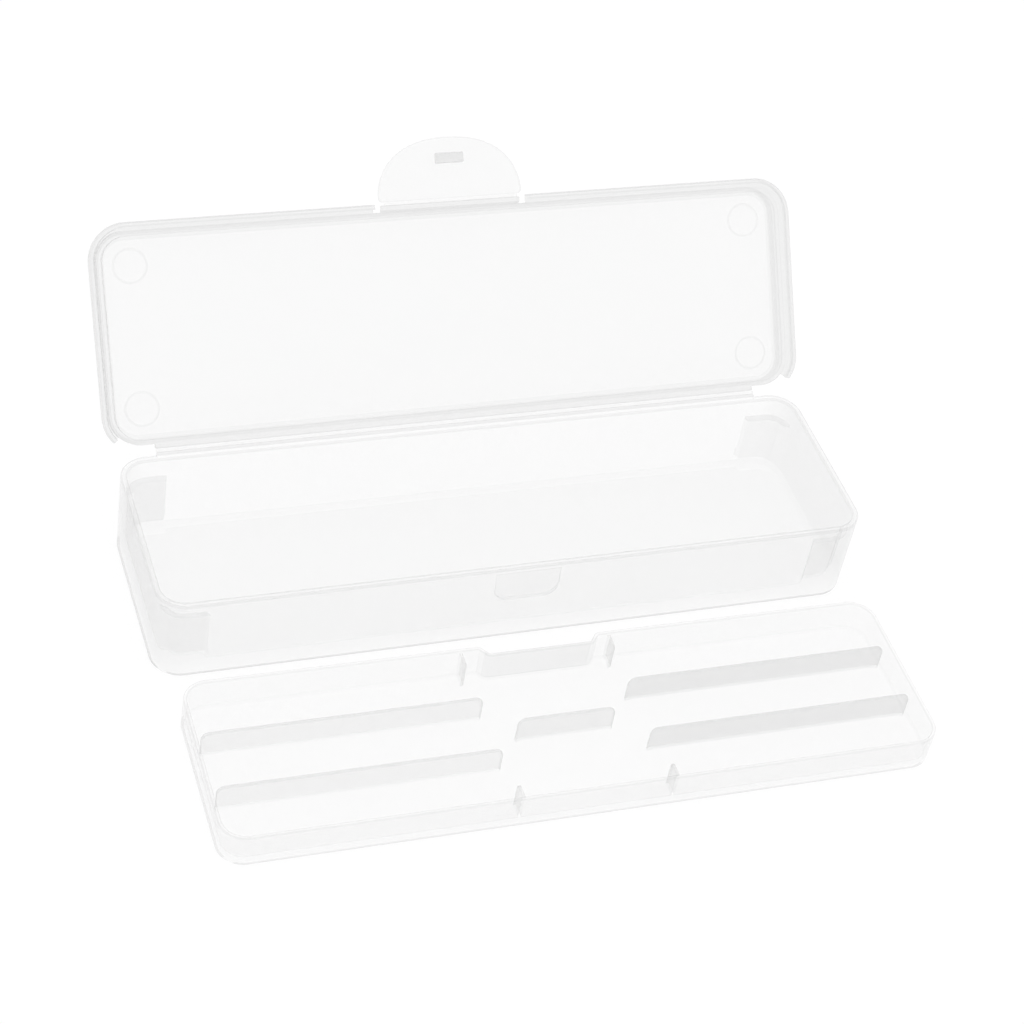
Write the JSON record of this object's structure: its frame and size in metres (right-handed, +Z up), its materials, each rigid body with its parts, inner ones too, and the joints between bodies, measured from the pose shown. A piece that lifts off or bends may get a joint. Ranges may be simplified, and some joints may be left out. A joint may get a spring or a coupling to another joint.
{
  "type": "brush box with hinged lid",
  "caption": "Long shallow box with a living-hinge lid, a half-oval snap flap on the lid's front edge and a loose tray divided into lanes by thin upright fins.",
  "frame": {"origin": "centre of the base's underside, on the surface that the box stands on", "axes": "+X along the length, to the right seen from the latch side; +Y towards the rear hinge; +Z up"},
  "size_m": [0.2046, 0.1737, 0.0895],
  "materials": {
    "box_plastic": "satin frosted translucent polypropylene",
    "film_plastic": "thin flexed polypropylene",
    "tray_plastic": "satin frosted translucent polypropylene"
  },
  "bodies": {
    "base": {"base_shell": "box_plastic", "rear_hinge_film": "film_plastic"},
    "lid": {"lid_shell": "box_plastic", "latch_hinge_film": "film_plastic"},
    "latch": {"latch_flap": "box_plastic"},
    "tray": {"tray": "tray_plastic"}
  },
  "joints": [
    {"name": "lid_hinge", "type": "hinge", "parent": "base", "child": "lid", "pos_m": [0, 0.0306, 0.0262], "axis": [-1, 0, 0], "range_deg": [-127.5, 52.5]},
    {"name": "latch_hinge", "type": "hinge", "parent": "lid", "child": "latch", "pos_m": [0, 0.06759, 0.07572], "axis": [1, 0, 0], "range_deg": [0, 90]},
    {"name": "tray_lift", "type": "slide", "parent": "base", "child": "tray", "axis": [0, 0, 1], "range_m": [0, 0.03]}
  ]
}
